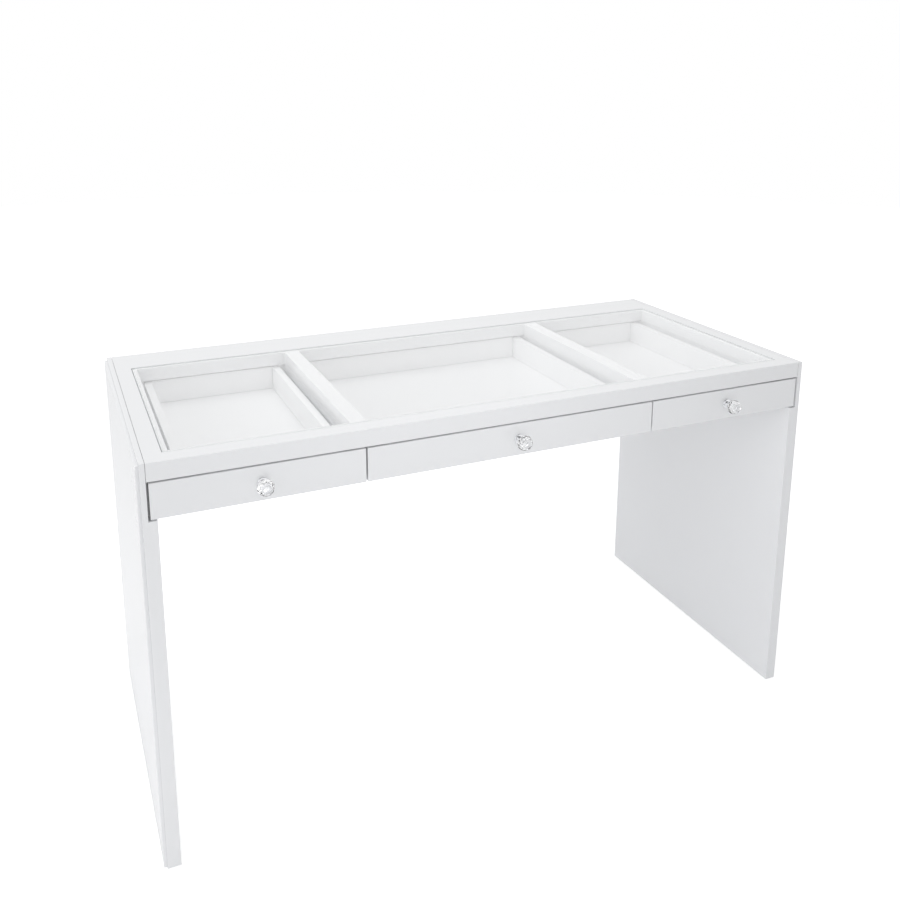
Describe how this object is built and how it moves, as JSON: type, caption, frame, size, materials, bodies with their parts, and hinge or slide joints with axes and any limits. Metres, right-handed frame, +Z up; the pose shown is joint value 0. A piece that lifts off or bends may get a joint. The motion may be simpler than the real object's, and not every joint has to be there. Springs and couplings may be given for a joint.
{
  "type": "manicure table",
  "caption": "White manicure table with slab legs, a glass display top over shallow drawers, and faceted crystal knobs on drawers that slide out towards the sitter.",
  "frame": {"origin": "on the floor under the centre of the bounding box, knobs included, with every drawer shut", "axes": "+X along the table's length to the right of a person sitting at the drawers, -Y towards that person, +Z up"},
  "size_m": [1.4, 0.661, 0.778],
  "materials": {
    "white_lacquer": "high-gloss white lacquer on MDF",
    "drawer_melamine": "satin white melamine-faced board",
    "clear_glass": "polished clear tempered glass with ground edges",
    "cut_crystal": "polished faceted clear crystal",
    "chrome": "polished chrome plate",
    "zinc_steel": "bright zinc-plated steel",
    "glide_plastic": "moulded off-white nylon"
  },
  "bodies": {
    "carcass": {"left_leg": "white_lacquer", "right_leg": "white_lacquer", "top_frame": "white_lacquer", "left_box_side": "white_lacquer", "right_box_side": "white_lacquer", "left_divider": "white_lacquer", "right_divider": "white_lacquer", "back_panel": "white_lacquer", "glass_top": "clear_glass", "left_front_glide": "glide_plastic", "left_front_leg_bolt": "zinc_steel", "left_rear_glide": "glide_plastic", "left_rear_leg_bolt": "zinc_steel", "right_front_glide": "glide_plastic", "right_front_leg_bolt": "zinc_steel", "right_rear_glide": "glide_plastic", "right_rear_leg_bolt": "zinc_steel", "left_drawer_left_cabinet_slide": "zinc_steel", "left_drawer_right_cabinet_slide": "zinc_steel", "centre_drawer_left_cabinet_slide": "zinc_steel", "centre_drawer_right_cabinet_slide": "zinc_steel", "right_drawer_left_cabinet_slide": "zinc_steel", "right_drawer_right_cabinet_slide": "zinc_steel"},
    "left_drawer": {"left_drawer_front": "white_lacquer", "left_drawer_left_side": "drawer_melamine", "left_drawer_right_side": "drawer_melamine", "left_drawer_floor": "drawer_melamine", "left_drawer_back": "drawer_melamine", "left_knob_base": "chrome", "left_knob_crystal": "cut_crystal", "left_knob_screw": "zinc_steel", "left_drawer_left_slide": "zinc_steel", "left_drawer_right_slide": "zinc_steel"},
    "left_runners": {"left_drawer_left_runner": "zinc_steel", "left_drawer_right_runner": "zinc_steel"},
    "centre_drawer": {"centre_drawer_front": "white_lacquer", "centre_drawer_left_side": "drawer_melamine", "centre_drawer_right_side": "drawer_melamine", "centre_drawer_floor": "drawer_melamine", "centre_drawer_back": "drawer_melamine", "centre_knob_base": "chrome", "centre_knob_crystal": "cut_crystal", "centre_knob_screw": "zinc_steel", "centre_drawer_left_slide": "zinc_steel", "centre_drawer_right_slide": "zinc_steel"},
    "centre_runners": {"centre_drawer_left_runner": "zinc_steel", "centre_drawer_right_runner": "zinc_steel"},
    "right_drawer": {"right_drawer_front": "white_lacquer", "right_drawer_left_side": "drawer_melamine", "right_drawer_right_side": "drawer_melamine", "right_drawer_floor": "drawer_melamine", "right_drawer_back": "drawer_melamine", "right_knob_base": "chrome", "right_knob_crystal": "cut_crystal", "right_knob_screw": "zinc_steel", "right_drawer_left_slide": "zinc_steel", "right_drawer_right_slide": "zinc_steel"},
    "right_runners": {"right_drawer_left_runner": "zinc_steel", "right_drawer_right_runner": "zinc_steel"}
  },
  "joints": [
    {"name": "left_drawer_slide", "type": "slide", "parent": "carcass", "child": "left_drawer", "axis": [0, -1, 0], "range_m": [0, 0.45]},
    {"name": "left_runner_slide", "type": "slide", "parent": "carcass", "child": "left_runners", "axis": [0, -1, 0], "range_m": [0, 0.225]},
    {"name": "centre_drawer_slide", "type": "slide", "parent": "carcass", "child": "centre_drawer", "axis": [0, -1, 0], "range_m": [0, 0.45]},
    {"name": "centre_runner_slide", "type": "slide", "parent": "carcass", "child": "centre_runners", "axis": [0, -1, 0], "range_m": [0, 0.225]},
    {"name": "right_drawer_slide", "type": "slide", "parent": "carcass", "child": "right_drawer", "axis": [0, -1, 0], "range_m": [0, 0.45]},
    {"name": "right_runner_slide", "type": "slide", "parent": "carcass", "child": "right_runners", "axis": [0, -1, 0], "range_m": [0, 0.225]}
  ],
  "couplings": [
    {"joint": "left_runner_slide", "follows": "left_drawer_slide", "ratio": 0.5},
    {"joint": "centre_runner_slide", "follows": "centre_drawer_slide", "ratio": 0.5},
    {"joint": "right_runner_slide", "follows": "right_drawer_slide", "ratio": 0.5}
  ]
}
